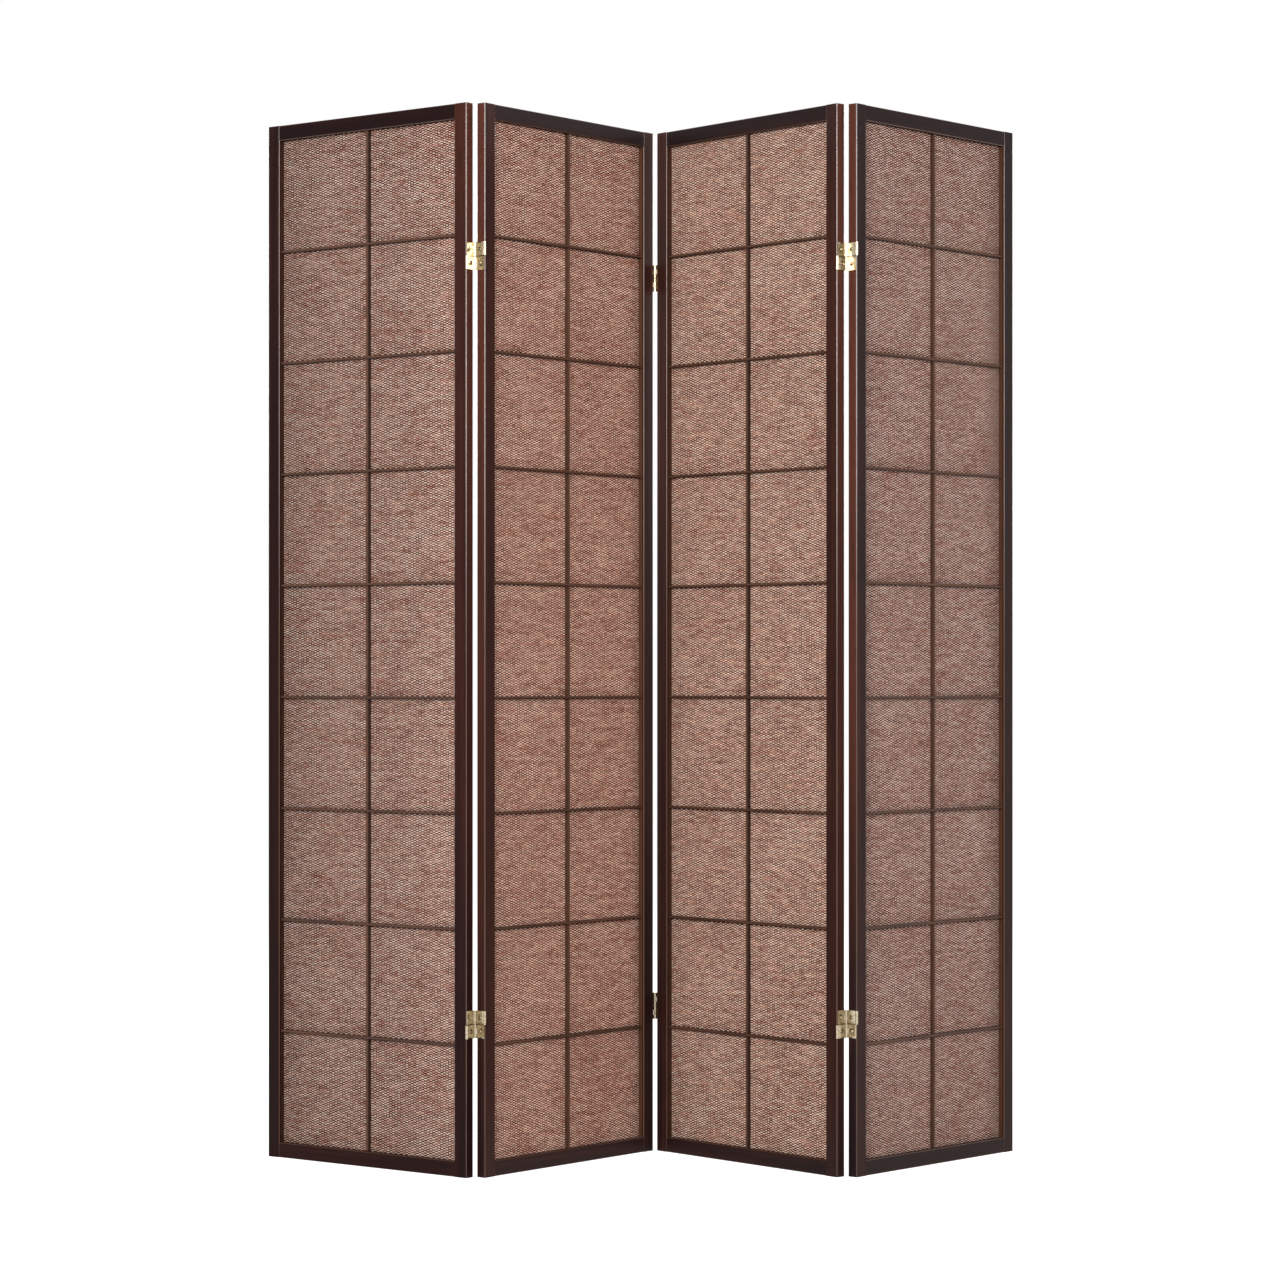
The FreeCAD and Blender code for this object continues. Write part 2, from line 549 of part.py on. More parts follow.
def add_fold(line, left, right, axis, pieces):
    """The two hinges between a pair of panels, each piece placed with the panel it rides on."""
    middles = {left: f"Sizes.panel_width + {HINGE_GAP} / 2", right: f"-{HINGE_GAP} / 2"}
    heights = ("Sizes.hinge_setting", "Sizes.panel_height - Sizes.hinge_setting")

    def hinge_frames(panel):
        return [place(middles[panel], "0", height) for height in heights]

    turn = {left: FreeCAD.Placement(FreeCAD.Vector(), UPRIGHT),
            right: FreeCAD.Placement(FreeCAD.Vector(), END_FOR_END)}
    # Pins and screws of a left leaf, in the hinge's frame: its rear pin above, its front pin below
    pin_seats = [place("0", REAR_AXIS, "Sizes.knuckle_clearance / 2"),
                 place("0", FRONT_AXIS, f"-{HALF_HINGE}")]
    head_face = f"-{HINGE_GAP} / 2 + Sizes.plate_thickness"
    screw_seats = [place(head_face, "Sizes.frame_depth / 2", f"{sign}{SCREW_STEP}", LEVEL)
                   for sign in ("-", "")]
    for side, panel in (("left", left), ("right", right)):
        frames = [frame * turn[panel] for frame in hinge_frames(panel)]
        add_group(f"{line}_{side}_leaves", [(pieces["leaf"], frame) for frame in frames], panel)
        add_group(f"{line}_{side}_pins",
                  [(pieces["pin"], frame * seat) for frame in frames for seat in pin_seats], panel)
        add_group(f"{line}_{side}_screws",
                  [(pieces["screw"], frame * seat) for frame in frames for seat in screw_seats], panel)
    # Links lie on the leaf that they don't turn against
    upper_rides, lower_rides = (right, left) if axis == "rear" else (left, right)
    add_group(f"{line}_upper_links",
              [(pieces["link"], frame) for frame in hinge_frames(upper_rides)], upper_rides)
    add_group(f"{line}_lower_links",
              [(pieces["link"], frame * turn[right]) for frame in hinge_frames(lower_rides)], lower_rides)


def panel_placements():
    """Where each panel's frame stands, found by turning each panel about its hinge axis."""
    step = place(f"Sizes.panel_width + {HINGE_GAP}", "0", "0")
    headings = {panel: number(f"Sizes.{panel}_heading") for panel in PANELS}
    first = PANELS[0]
    placements = {first: FreeCAD.Placement(FreeCAD.Vector(), FreeCAD.Rotation(ALONG_Z, headings[first]))}
    for line, left, right, axis in FOLDS:
        depth = REAR_AXIS if axis == "rear" else FRONT_AXIS
        pivot = place(f"Sizes.panel_width + {HINGE_GAP} / 2", depth, "0")
        turn = FreeCAD.Rotation(ALONG_Z, headings[right] - headings[left])
        swing = pivot * FreeCAD.Placement(FreeCAD.Vector(), turn) * pivot.inverse()
        placements[right] = placements[left] * swing * step
    return placements


def set_down(placements, shift):
    """Place every node with its panel, moved by one shift."""
    move = FreeCAD.Placement(shift, UPRIGHT)
    for node, panel, local in nodes:
        node.Placement = move * placements[panel] * local
    document.recompute()


panel_pieces = {
    "stile": make_stile("stile", hinged=False),
    "hinged_stile": make_stile("hinged_stile", hinged=True),
    "rail": make_rail(),
    "frame_dowels": make_frame_dowels(),
    "centre_slat": make_centre_slat(),
    "cross_slats": make_cross_slats(),
    "woven_sheet": make_woven_sheet(),
    "retaining_beads": make_retaining_beads(),
}
hinge_pieces = {
    "leaf": make_hinge_leaf(),
    "link": make_hinge_link(),
    "pin": make_hinge_pin(),
    "screw": make_hinge_screw(),
}
document.recompute()
for panel in PANELS:
    add_panel(panel, panel_pieces)
for line, left, right, axis in FOLDS:
    add_fold(line, left, right, axis, hinge_pieces)

# The origin is the middle of the screen's footprint, on the floor
placements = panel_placements()
set_down(placements, FreeCAD.Vector())
extent = FreeCAD.BoundBox()
for node, panel, local in nodes:
    extent.add(node.Shape.optimalBoundingBox(False, False))
set_down(placements, FreeCAD.Vector(-extent.Center.x, -extent.Center.y, -extent.ZMin))

for item in document.Objects:
    if "Invalid" in item.State or "Error" in item.State:
        raise RuntimeError(f"{item.Label} failed to build")
for node, panel, local in nodes:
    if node.Shape.isNull() or not node.Shape.isValid():
        raise RuntimeError(f"{node.Label} has no valid shape")

os.makedirs("parts", exist_ok=True)
for node, panel, local in nodes:
    node.Shape.exportStep(f"parts/{node.Label}.step")
print(len(nodes), "nodes written")
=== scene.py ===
"""The looks of a folding room screen: stained frames, slat lattices, woven sheets and brass hinges."""
import json
import math

import bpy
from bpy.props import FloatProperty, FloatVectorProperty, IntProperty, PointerProperty
from mathutils import Matrix, Vector

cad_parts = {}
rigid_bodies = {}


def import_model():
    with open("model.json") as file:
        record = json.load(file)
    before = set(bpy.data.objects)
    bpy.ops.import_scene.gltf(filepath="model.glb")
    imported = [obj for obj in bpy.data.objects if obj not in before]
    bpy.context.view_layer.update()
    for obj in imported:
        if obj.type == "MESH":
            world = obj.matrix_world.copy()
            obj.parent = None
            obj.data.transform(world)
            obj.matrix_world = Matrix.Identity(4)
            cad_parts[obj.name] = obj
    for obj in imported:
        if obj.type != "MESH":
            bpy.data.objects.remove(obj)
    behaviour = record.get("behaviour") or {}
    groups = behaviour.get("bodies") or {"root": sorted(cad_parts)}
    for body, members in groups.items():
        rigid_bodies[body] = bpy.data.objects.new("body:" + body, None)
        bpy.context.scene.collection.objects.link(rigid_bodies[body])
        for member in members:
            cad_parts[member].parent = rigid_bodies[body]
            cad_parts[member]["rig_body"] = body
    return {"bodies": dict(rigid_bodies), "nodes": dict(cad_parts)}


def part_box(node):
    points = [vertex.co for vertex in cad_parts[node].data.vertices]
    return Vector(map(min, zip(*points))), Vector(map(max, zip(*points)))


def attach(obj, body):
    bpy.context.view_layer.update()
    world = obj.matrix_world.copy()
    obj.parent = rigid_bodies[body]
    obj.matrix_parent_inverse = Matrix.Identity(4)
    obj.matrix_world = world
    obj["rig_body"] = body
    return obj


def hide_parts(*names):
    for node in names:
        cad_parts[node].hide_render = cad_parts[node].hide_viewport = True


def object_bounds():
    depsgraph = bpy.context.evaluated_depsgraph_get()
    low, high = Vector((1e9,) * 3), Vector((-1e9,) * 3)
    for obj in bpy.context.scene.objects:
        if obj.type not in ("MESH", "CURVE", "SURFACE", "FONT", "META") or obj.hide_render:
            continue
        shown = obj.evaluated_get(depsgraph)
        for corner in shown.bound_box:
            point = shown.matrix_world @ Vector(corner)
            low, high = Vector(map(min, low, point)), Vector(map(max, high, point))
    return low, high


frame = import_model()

bl_info = {
    "name": "Folding Room Screen",
    "version": (1, 0, 0),
    "blender": (4, 5, 0),
    "location": "View3D > Sidebar > Screen",
    "description": "Dresses a folding screen with its wood, woven sheets, brass and stage",
    "category": "Object",
}

CAD_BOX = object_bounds()
PANELS = sorted(frame["bodies"])
MILLIMETRE = 0.001
# The hinge leaves and screws that give the brass the places of its dark rings and its painted shade
HINGE = "hinge_12_left"


class PanelPlace:
    """Where a panel stands: its woven sheet's middle, heading and sizes, and the front of its stiles."""

    def __init__(self, panel):
        node = f"{panel}_woven_sheet"
        low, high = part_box(node)
        faces_front = [face for face in frame["nodes"][node].data.polygons if face.normal.y < 0]
        normal = max(faces_front, key=lambda face: face.area).normal
        self.middle = (low + high) / 2
        self.heading = math.atan2(normal.x, -normal.y)
        self.matrix = Matrix.Translation(self.middle) @ Matrix.Rotation(self.heading, 4, "Z")
        along = self.corners(node, 0)
        up = self.corners(node, 2)
        self.width = max(along) - min(along)
        self.height = max(up) - min(up)
        self.front = min(self.corners(f"{panel}_left_stile", 1))

    def corners(self, node, axis):
        """Where a node's corners lie on an axis of the panel's own frame."""
        inverse = self.matrix.inverted()
        return [(inverse @ vertex.co)[axis] for vertex in frame["nodes"][node].data.vertices]


PLACES = {panel: PanelPlace(panel) for panel in PANELS}
# Stiles that are spliced from two lengths, with the splice's height above the panel's middle
SPLICES = {"panel_4_left_stile": 0.098}
# How red each stile's front is, partly its own tone and partly painted light, and how much redder painted
# light makes its top than its middle, then how much redder painted light makes its outer edge, and how much
# more so at its top
STILE_STAIN_AND_LIGHT = {
    "panel_1_left_stile": (0.06, 0.05, 0.34, 0.46),
    "panel_1_right_stile": (0.25, 0.22, 0.16, 0.18),
    "panel_2_left_stile": (0.24, 0.00, 0.34, 0.46),
    "panel_2_right_stile": (0.22, 0.10, 0.16, 0.18),
    "panel_3_left_stile": (0.31, 0.12, 0.34, 0.46),
    "panel_3_right_stile": (0.28, 0.08, 0.16, 0.18),
    "panel_4_left_stile": (0.12, 0.00, 0.45, 0.80),
    "panel_4_right_stile": (0.03, 0.00, 0.16, 0.18),
}
# How red the pieces across a panel are
CROSS_STAIN = {"bottom_rail": 0.12, "top_rail": -0.05, "retaining_beads": 0.25}
# How much painted light makes the inner sides of the stiles paler, and those of the pieces across a panel
INNER_SIDE_LIGHT = {"left_stile": 0.2, "right_stile": 0.65}
CROSS_SIDE_LIGHT = 0.4
# Where the painted shade line on the inner sides comes in and goes out, behind the front of the frame
SHADE_LINE_START = (1.6 * MILLIMETRE, 2.2 * MILLIMETRE)
SHADE_LINE_END = (3.6 * MILLIMETRE, 4.4 * MILLIMETRE)
# Width of the blend from a stile's inner side to its outer side, within the edge of the woven sheet
SIDE_BLEND = 4 * MILLIMETRE
# Half the height over which the colour changes at a splice
SPLICE_FADE = 0.5 * MILLIMETRE
# Sheen of each panel's lacquer, on the shader's scale of specular level
LACQUER = {"panel_1": 0.06, "panel_2": 0.12, "panel_3": 0.10, "panel_4": 0.10}
# Painted light and shade on each panel's sheet, as a tint of the yarn's colours
SHEET_LIGHT_TINTS = {
    "panel_1": (0.79, 0.775, 0.785),
    "panel_2": (1.05, 0.94, 0.91),
    "panel_3": (1.08, 1.08, 1.06),
    "panel_4": (0.86, 0.84, 0.875),
}
# How much red shows between the picks of each sheet
BLUSH = {"panel_1": 2.0, "panel_2": 1.2, "panel_3": 2.0, "panel_4": 1.1}
# How much painted shade darkens each sheet beside its left and its right stile, or painted light brightens
# it where the value is below 0, and how far that reaches
SHEET_SHADE = {
    "panel_1": (0.20, -0.26, 0.150),
    "panel_2": (0.30, 0.30, 0.032),
    "panel_3": (0.10, 0.00, 0.060),
    "panel_4": (0.32, 0.32, 0.060),
}
# Size of the waves in a sheet's ripple
RIPPLE_SCALE = 0.12
# Radius of a screw's head and of the dark ring round it
SCREW_HEAD = 2.7 * MILLIMETRE
SCREW_RING_RADIUS = 3.0 * MILLIMETRE
# Where the dark ring and the painted shade in the seam fade from full to none: beside that ring, and beside
# the seam between the links
RING_FADE = (0.3 * MILLIMETRE, 1.0 * MILLIMETRE)
SEAM_FADE = (0.4 * MILLIMETRE, 1.0 * MILLIMETRE)
# Width and height of a soft box
SOFT_BOX = (1.2, 1.9)
# Each lamp: the setting that holds its power, its place, and its width and height
LAMPS = {
    "key": ("key", (-2.5, -3.5, 2.1), SOFT_BOX),
    "fill": ("fill", (2.9, -3.2, 2.1), SOFT_BOX),
    "front": ("front", (-1.05, -5.6, 2.3), (1.3, 1.4)),
    "back_left": ("back", (-3.4, 3.6, 2.1), SOFT_BOX),
    "back_right": ("back", (3.4, 3.6, 2.1), SOFT_BOX),
}
# Width of the camera's sensor in millimetres, and how far the camera sees in metres
SENSOR_WIDTH = 36
SIGHT_RANGE = 200


# Sizes and colours that a user may change

class WeaveSettings(bpy.types.PropertyGroup):
    """The woven sheets."""

    pick_pitch: FloatProperty(
        name="Pick pitch", description="Height of one weft pick", default=0.00208, unit="LENGTH",
        precision=5)
    column_pitch: FloatProperty(
        name="Column pitch", description="Distance between warp threads", default=0.0059, unit="LENGTH",
        precision=5)
    pick_wander: FloatProperty(
        name="Pick wander", description="How far the picks stray up and down", default=0.0024,
        unit="LENGTH", precision=5)
    column_wander: FloatProperty(
        name="Column wander", description="How far the columns stray sideways", default=0.0025,
        unit="LENGTH", precision=5)
    dive: FloatProperty(
        name="Dive", description="Least half-width of a dive under a warp thread", default=0.00245,
        unit="LENGTH", precision=5)
    dive_spread: FloatProperty(
        name="Dive spread", description="How much the half-width of a dive varies", default=0.0011,
        unit="LENGTH", precision=5)
    dive_edge: FloatProperty(
        name="Dive edge", description="Width of a dive's soft edge", default=0.0006, unit="LENGTH",
        precision=5)
    thickness: FloatProperty(
        name="Thickness", description="Thickness of the cloth", default=0.0007, unit="LENGTH", precision=5)
    ripple: FloatProperty(
        name="Ripple", description="How far the stretched cloth waves", default=0.0002, unit="LENGTH",
        precision=5)
    columns: IntProperty(name="Columns", description="Faces of the sheet across", default=40)
    rows: IntProperty(name="Rows", description="Faces of the sheet up", default=160)
    light_yarn: FloatVectorProperty(
        name="Light yarn", description="Pale stretches of the weft", default=(0.92, 0.70, 0.57),
        subtype="COLOR", size=3)
    dark_yarn: FloatVectorProperty(
        name="Dark yarn", description="Red-brown stretches of the weft", default=(0.46, 0.19, 0.13),
        subtype="COLOR", size=3)
    warp: FloatVectorProperty(
        name="Warp", description="Warp threads between the picks", default=(0.035, 0.011, 0.008),
        subtype="COLOR", size=3)


class WoodSettings(bpy.types.PropertyGroup):
    """The stained wood of frames and slats."""

    # Also the colour of painted shade: the line behind the frames' arrises, and the slats' edges and sides
    dark: FloatVectorProperty(
        name="Dark stain", description="Stain in the pores of the frames", default=(0.0115, 0.0038, 0.0040),
        subtype="COLOR", size=3)
    warm: FloatVectorProperty(
        name="Warm stain", description="Red-brown wood that shows through the stain",
        default=(0.092, 0.0280, 0.0168), subtype="COLOR", size=3)
    slat: FloatVectorProperty(
        name="Slat", description="Brown of the slats", default=(0.130, 0.056, 0.028),
        subtype="COLOR", size=3)
    slat_dark: FloatVectorProperty(
        name="Slat grain", description="Dark grain of the slats", default=(0.048, 0.022, 0.014),
        subtype="COLOR", size=3)
    bare: FloatVectorProperty(
        name="Bare wood", description="Unstained dowels", default=(0.52, 0.36, 0.21),
        subtype="COLOR", size=3)
    slat_width: FloatProperty(
        name="Slat width", description="Width of a slat's face", default=0.005, unit="LENGTH", precision=4)
    cross_slats: IntProperty(name="Cross slats", description="Cross slats in a panel", default=8)


class BrassSettings(bpy.types.PropertyGroup):
    """The hinges."""

    bright: FloatVectorProperty(
        name="Brass", description="Polished brass", default=(0.50, 0.43, 0.31), subtype="COLOR", size=3)
    screw: FloatVectorProperty(
        name="Screw", description="Screw heads", default=(0.82, 0.72, 0.54), subtype="COLOR", size=3)
    dull: FloatVectorProperty(
        name="Tarnish", description="Dull brass", default=(0.24, 0.17, 0.08), subtype="COLOR", size=3)
    # Dark rings round the screws, and painted shade in the seam between the links
    ring_and_seam_dark: FloatVectorProperty(
        name="Grime", description="Dirt round the screws and between the links",
        default=(0.045, 0.028, 0.012), subtype="COLOR", size=3)
    hinge_height: FloatProperty(
        name="Hinge height", description="Height of a hinge", default=0.046, unit="LENGTH", precision=4)


class StageSettings(bpy.types.PropertyGroup):
    """Camera, lamps and floor."""

    lens: FloatProperty(
        name="Lens", description="Focal length of the camera", default=99.86, unit="CAMERA")
    eye: FloatVectorProperty(
        name="Eye", description="Where the camera stands", default=(-0.0920, -6.0673, 0.8359),
        subtype="XYZ", size=3, unit="LENGTH")
    rise: FloatProperty(name="Rise", description="Upward shift of the view", default=0.0268)
    slide: FloatProperty(name="Slide", description="Shift of the view to the right", default=0.0391)
    ambient: FloatProperty(name="Ambient", description="Level of the light from all round", default=0.20)
    key: FloatProperty(name="Key", description="Power of the lamp at the left", default=80.0, unit="POWER")
    fill: FloatProperty(
        name="Fill", description="Power of the lamp at the right", default=92.0, unit="POWER")
    front: FloatProperty(
        name="Front", description="Power of the lamp above the camera", default=120.0, unit="POWER")
    back: FloatProperty(
        name="Back", description="Power of each of the two lamps behind", default=130.0, unit="POWER")
    floor_size: FloatProperty(name="Floor", description="Side of the floor", default=60.0, unit="LENGTH")
    floor_bounce: FloatProperty(
        name="Floor bounce", description="How much light the floor throws on the screen", default=0.9)
    floor_shadow: FloatProperty(
        name="Floor shadow", description="How much of the light and shadow the floor shows", default=0.5)
    floor_glow: FloatProperty(
        name="Floor glow", description="White that the floor shows by itself", default=0.9)


# Shader maths

class Value:
    """An output socket of a finish, with the operators that shader maths uses."""

    def __init__(self, finish, socket):
        self.finish = finish
        self.socket = socket

    def math(self, operation, *others):
        """A Math node on this value and others."""
        sockets = dict(enumerate((self, *others)))
        return self.finish.add("ShaderNodeMath", {"operation": operation}, sockets)

    def __add__(self, other):
        return self.math("ADD", other)

    def __sub__(self, other):
        return self.math("SUBTRACT", other)

    def __mul__(self, other):
        return self.math("MULTIPLY", other)

    def __truediv__(self, other):
        return self.math("DIVIDE", other)

    def __abs__(self):
        return self.math("ABSOLUTE")

    def __rsub__(self, other):
        return self.finish.add("ShaderNodeMath", {"operation": "SUBTRACT"}, {0: other, 1: self})

    __radd__ = __add__
    __rmul__ = __mul__

    def floor(self):
        return self.math("FLOOR")

    def root(self):
        return self.math("SQRT")

    def fract(self):
        return self.math("FRACT")

    def ease(self, start, end):
        """0 at start and 1 at end, with a smooth step between them."""
        settings = {"interpolation_type": "SMOOTHSTEP"}
        return self.finish.add("ShaderNodeMapRange", settings, {0: self, 1: start, 2: end})


class Finish:
    """A material and its nodes."""

    def __init__(self, name):
        self.material = bpy.data.materials.new(name)
        self.material.use_nodes = True
        self.tree = self.material.node_tree
        self.tree.nodes.clear()

    def add(self, kind, settings, sockets, output=0):
        """A node from its type, its settings and the values or links of its sockets."""
        node = self.tree.nodes.new(kind)
        for name, setting in settings.items():
            setattr(node, name, setting)
        for name, value in sockets.items():
            if isinstance(value, Value):
                self.tree.links.new(value.socket, node.inputs[name])
            else:
                node.inputs[name].default_value = value
        return Value(self, node.outputs[output])

    def mix(self, factor, first, second, blend="MIX"):
        """A colour between two others."""
        sockets = {0: factor, 6: opaque(first), 7: opaque(second)}
        return self.add("ShaderNodeMix", {"data_type": "RGBA", "blend_type": blend}, sockets, output=2)

    def turned(self, panel, output, middle):
        """A texture coordinate, taken from a middle and turned into a panel's frame."""
        sockets = {
            "Vector": self.add("ShaderNodeTexCoord", {}, {}, output),
            "Location": middle,
            "Rotation": (0, 0, PLACES[panel].heading),
        }
        return self.add("ShaderNodeMapping", {"vector_type": "TEXTURE"}, sockets)

    def place(self, panel, stretch=(1, 1, 1)):
        """Stretched object coordinates in a panel's frame: along it, from front to back, and up."""
        point = self.turned(panel, "Object", PLACES[panel].middle)
        return self.add("ShaderNodeMapping", {}, {"Vector": point, "Scale": stretch})

    def facing(self, panel):
        """The three numbers of the surface's normal in a panel's frame."""
        return self.axes(self.turned(panel, "Normal", (0, 0, 0)))

    def axes(self, vector):
        """The three numbers of a vector."""
        return [self.add("ShaderNodeSeparateXYZ", {}, {0: vector}, axis) for axis in range(3)]

    def vector(self, x, y, z):
        """A vector of three numbers."""
        return self.add("ShaderNodeCombineXYZ", {}, {0: x, 1: y, 2: z})

    def noise(self, vector, detail, roughness=0.5, scale=1.0):
        """Cloudy noise from 0 to 1."""
        sockets = {"Vector": vector, "Scale": scale, "Detail": detail, "Roughness": roughness}
        return self.add("ShaderNodeTexNoise", {}, sockets)

    def chance(self, column, row, seed):
        """A number from 0 to 1 for each cell of a grid."""
        place = self.vector(column, row, seed)
        return self.add("ShaderNodeTexWhiteNoise", {"noise_dimensions": "3D"}, {"Vector": place})

    def relief(self, height, distance, strength):
        """A bumped normal from a height that counts in multiples of a distance."""
        sockets = {"Height": height, "Distance": distance, "Strength": strength}
        return self.add("ShaderNodeBump", {}, sockets)

    def surface(self, sockets):
        """The finished surface."""
        shader = self.add("ShaderNodeBsdfPrincipled", {}, sockets)
        self.close(shader)
        return self.material

    def close(self, shader):
        """The material's output."""
        end = self.tree.nodes.new("ShaderNodeOutputMaterial")
        self.tree.links.new(shader.socket, end.inputs["Surface"])


def opaque(colour):
    """A colour with its alpha, or a linked colour as it is."""
    return colour if isinstance(colour, Value) else (*colour, 1.0)


def grey(level):
    """A grey with its alpha."""
    return (level, level, level, 1.0)


def darker(colour, share):
    """A share of a colour."""
    return [share * part for part in colour]


def grain_run(upright, across, lengthwise):
    """Stretch for a grain that runs up a panel, or along it."""
    return (across, across, lengthwise) if upright else (lengthwise, across, across)


# Finishes

def stained_wood(name, panel, upright, stain, side_light, seed):
    """Dark stained frame wood: grain along the piece, painted light on its outer edges and top, worn
    arrises with a painted highlight and sheen.

    The inner sides are paler as painted light, with a painted shade line behind the front arris."""
    colours = bpy.context.scene.divider_wood
    finish = Finish(name)
    # The stain, with the painted light on the front's top and on the outer edge
    redness, painted_top_light, painted_edge_light, painted_edge_top_light = stain
    where = PLACES[panel]
    shift = (seed * 1.7, seed * 0.9, seed * 2.3)
    grain_place = finish.add("ShaderNodeVectorMath", {"operation": "ADD"},
                             {0: finish.place(panel, grain_run(upright, 60, 1.4)), 1: shift})
    grain = finish.noise(grain_place, 5.0, 0.62)
    pores = finish.noise(finish.place(panel, grain_run(upright, 700, 18)), 2.0).ease(0.56, 0.70)
    cloud = finish.noise(finish.place(panel, (3, 3, 3)), 2.0, scale=1.0 + 0.1 * seed)

    along, back, up = finish.axes(finish.place(panel))
    side, front, end = [abs(part) for part in finish.facing(panel)]
    arris = (side * front + end * front) * 2
    height = up / (where.height / 2)
    sheet_edge = where.width / 2
    facing_side = side.ease(0.7, 0.95)
    outside = abs(along).ease(sheet_edge - SIDE_BLEND, sheet_edge)

    # The stile's own tone, with painted light on the front growing towards the top, then painted light on
    # the outer edge growing towards the top
    tone = (grain - 0.5) * 0.9 + (cloud - 0.5) * 0.4 + height * painted_top_light + redness
    tone = tone + facing_side * outside * (height * painted_edge_top_light + painted_edge_light)
    if name in SPLICES:
        above = (up - SPLICES[name]).ease(-SPLICE_FADE, SPLICE_FADE)
        tone = tone + 0.10 - above * 0.16
    stained = finish.mix(tone.ease(-0.1, 1.1), colours.dark, colours.warm)
    inside = facing_side * (1 - outside)
    behind = back - where.front
    shade_line = behind.ease(*SHADE_LINE_START) - behind.ease(*SHADE_LINE_END)
    # Painted light: the inner sides paler, towards the slats' brown
    side_lit = finish.mix(inside * side_light, stained, colours.slat)
    # Arrises paler, partly wear and partly a painted highlight
    rubbed_and_highlit = finish.mix(arris.ease(0.3, 1.0) * 0.5, side_lit, colours.slat)
    # Painted shade: a dark line on the inner sides just behind the front arris
    shade_lined = finish.mix(inside * shade_line * 0.85, rubbed_and_highlit, colours.dark)
    colour = finish.mix(pores * 0.45, shade_lined, darker(colours.dark, 0.4))
    # Painted sheen: the coat on the arrises grows stronger towards the top and on the outer edges
    painted_sheen_fade = (height.ease(-0.1, 0.4) * 0.6 + 0.3) * (outside * 0.5 + 0.5)
    return finish.surface({
        "Base Color": colour,
        "Roughness": 0.38 + grain * 0.14 + pores * 0.10,
        "Specular IOR Level": LACQUER[panel],
        # Glossy coat on the arrises only, a painted sheen
        "Coat Weight": arris.ease(0.25, 0.9) * painted_sheen_fade,
        "Coat Roughness": 0.3,
        "Coat IOR": 1.9,
        "Normal": finish.relief(grain * 0.35 + (1 - pores) * 0.5, 0.12 * MILLIMETRE, 0.5),
    })


def slat_wood(name, panel, upright):
    """Brown slat wood with its grain: painted shade along the edges of its faces and on its sides, painted
    light on its left sides.
    """
    colours = bpy.context.scene.divider_wood
    finish = Finish(name)
    grain = finish.noise(finish.place(panel, grain_run(upright, 160, 3.5)), 4.0, 0.6)
    patches = finish.noise(finish.place(panel, (9, 9, 9)), 2.0)
    along, _, up = finish.axes(finish.place(panel))
    side, front, end = finish.facing(panel)
    width = colours.slat_width
    # Painted shade along the edges of the faces, heaviest along the lower edge of the cross slats
    if upright:
        edge = abs(along).ease(width * 0.2, width * 0.45) * 0.55
    else:
        low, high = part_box(name)
        pitch = (high.z - low.z - width) / (colours.cross_slats - 1)
        lowest = low.z + width / 2 - PLACES[panel].middle.z
        rise = (((up - lowest) / pitch + 0.5).fract() - 0.5) * pitch
        edge = (0 - rise).ease(0, width * 0.4) * 0.95 + rise.ease(width * 0.2, width * 0.45) * 0.6
    tone = (grain * 0.7 + patches * 0.5 - 0.1).ease(0.2, 0.8)
    worn = finish.mix(tone, colours.slat_dark, colours.slat)
    face = finish.mix(edge, worn, colours.dark)
    # Painted light on the left-facing sides; the right-facing sides painted dark as shade
    left_lit = finish.mix((0 - side).ease(0.3, 0.9) * 0.65, darker(colours.slat_dark, 0.7), worn)
    # Painted shade on the top and bottom faces
    sides = finish.mix(abs(end).ease(0.3, 0.9), left_lit, colours.dark)
    return finish.surface({
        "Base Color": finish.mix(abs(front).ease(0.3, 0.9), sides, face),
        "Roughness": 0.42 + grain * 0.2,
        "Specular IOR Level": 0.2,
        "Normal": finish.relief(grain, 0.1 * MILLIMETRE, 0.5),
    })


def bare_wood(name, panel):
    """Unstained dowel wood, its grain along the panel."""
    colours = bpy.context.scene.divider_wood
    finish = Finish(name)
    grain = finish.noise(finish.place(panel, (12, 500, 500)), 3.0)
    pale = finish.mix(grain.ease(0.3, 0.7), darker(colours.bare, 0.7), colours.bare)
    return finish.surface({"Base Color": pale, "Roughness": 0.6 + grain * 0.2})


def brass(name, panel, polish, domed=False):
    """Polished brass with tarnish, fine scratches, dark rings round the screws, and painted shade in the
    seam between the links.

    A domed finish swells round the screws' axes."""
    colours = bpy.context.scene.divider_brass
    finish = Finish(name)
    spots = finish.noise(finish.place(panel, (190, 190, 190)), 4.0, 0.65)
    scratches = finish.noise(finish.place(panel, (260, 260, 4200)), 2.0)
    tarnish = spots.ease(0.40, 0.80)

    _, back, up = finish.axes(finish.place(panel))
    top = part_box(f"{HINGE}_leaves")[1].z
    hinge_rise = top - colours.hinge_height / 2 - PLACES[panel].middle.z
    screw_low, screw_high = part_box(f"{HINGE}_screws")
    screw_back = (PLACES[PANELS[0]].matrix.inverted() @ ((screw_low + screw_high) / 2)).y
    from_middle = abs(abs(up) - hinge_rise)
    from_screw = from_middle - colours.hinge_height / 4
    offset = back - screw_back
    from_axis = (from_screw * from_screw + offset * offset).root()
    ring = 1 - abs(from_axis - SCREW_RING_RADIUS).ease(*RING_FADE)
    # Painted shade in the seam between the upper and lower links
    seam = 1 - from_middle.ease(*SEAM_FADE)
    dome = 1 - from_axis.ease(0, SCREW_HEAD) if domed else 0
    metal = finish.mix(tarnish, polish, colours.dull)
    ringed = finish.mix(ring * 0.75, metal, colours.ring_and_seam_dark)
    return finish.surface({
        "Base Color": finish.mix(seam * 0.85, ringed, colours.ring_and_seam_dark),
        "Metallic": 1.0,
        "Roughness": 0.10 + tarnish * 0.20 + scratches * 0.05,
        "Normal": finish.relief(scratches * 0.06 + spots * 0.10 + dome, 0.8 * MILLIMETRE, 0.5),
    })


